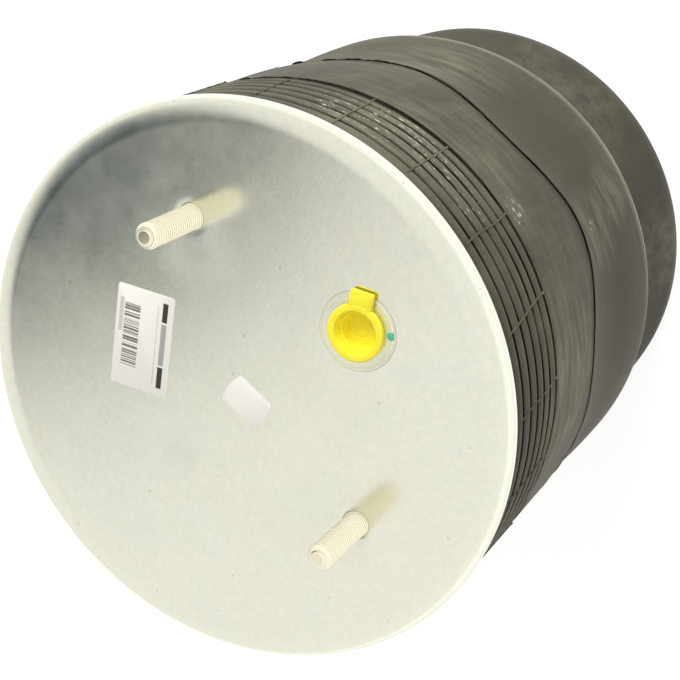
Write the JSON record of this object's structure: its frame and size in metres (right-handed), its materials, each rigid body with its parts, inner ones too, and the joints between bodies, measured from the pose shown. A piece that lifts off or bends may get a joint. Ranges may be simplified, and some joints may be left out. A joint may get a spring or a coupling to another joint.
{
  "type": "rolling lobe air spring",
  "caption": "Rolling lobe air spring: crimped steel bead plate with studs and air port, cord-ply rubber sleeve with bead wires, and a flared, ribbed piston with bumper.",
  "frame": {"origin": "centre of the piston's base, on the surface that it stands on", "axes": "+Z along the spring's axis to the bead plate and its studs, +X along the line of the two studs, -Y towards the air port"},
  "size_m": [0.272, 0.272, 0.3425],
  "materials": {
    "zinc_steel": "zinc plated, satin",
    "stud_zinc": "zinc plated, satin",
    "yellow_plastic": "smooth",
    "black_rubber": "dull, dusty",
    "bumper_rubber": "dull",
    "cord_fabric": "rubbered cord",
    "bead_steel": "bronzed steel wire",
    "piston_plastic": "moulded, glass filled",
    "bolt_steel": "zinc plated",
    "insert_brass": "turned",
    "label_paper": "matt",
    "sticker_paper": "matt",
    "green_paint": "dab of paint"
  },
  "bodies": {
    "piston_assembly": {"piston": "piston_plastic", "piston_hub": "piston_plastic", "piston_ribs": "piston_plastic", "base_inserts": "insert_brass", "bolt_washer": "bolt_steel", "closure_bolt": "bolt_steel", "bolt_o_ring": "bumper_rubber", "closure_plate": "zinc_steel", "bumper_retainer": "zinc_steel", "closure_nut": "bolt_steel", "bumper": "bumper_rubber", "lower_bead_wire": "bead_steel"},
    "plate_assembly": {"bead_plate": "zinc_steel", "stud_left": "stud_zinc", "stud_right": "stud_zinc", "port_boss": "zinc_steel", "upper_bead_wire": "bead_steel", "bellows_cover": "black_rubber", "outer_cord_ply": "cord_fabric", "inner_cord_ply": "cord_fabric", "inner_liner": "black_rubber", "parts_label": "label_paper", "blank_sticker": "sticker_paper", "paint_mark": "green_paint"},
    "transit_plug": {"port_plug": "yellow_plastic"}
  },
  "joints": [
    {"name": "stroke", "type": "slide", "parent": "piston_assembly", "child": "plate_assembly", "axis": [0, 0, 1], "range_m": [-0.07, 0.13], "stiffness_N_per_m": 4000, "springref_m": 0.0066, "deforming": ["bellows_cover", "outer_cord_ply", "inner_cord_ply", "inner_liner"]},
    {"name": "plug_pull", "type": "slide", "parent": "plate_assembly", "child": "transit_plug", "axis": [0, 0, 1], "range_m": [0, 0.03]}
  ]
}
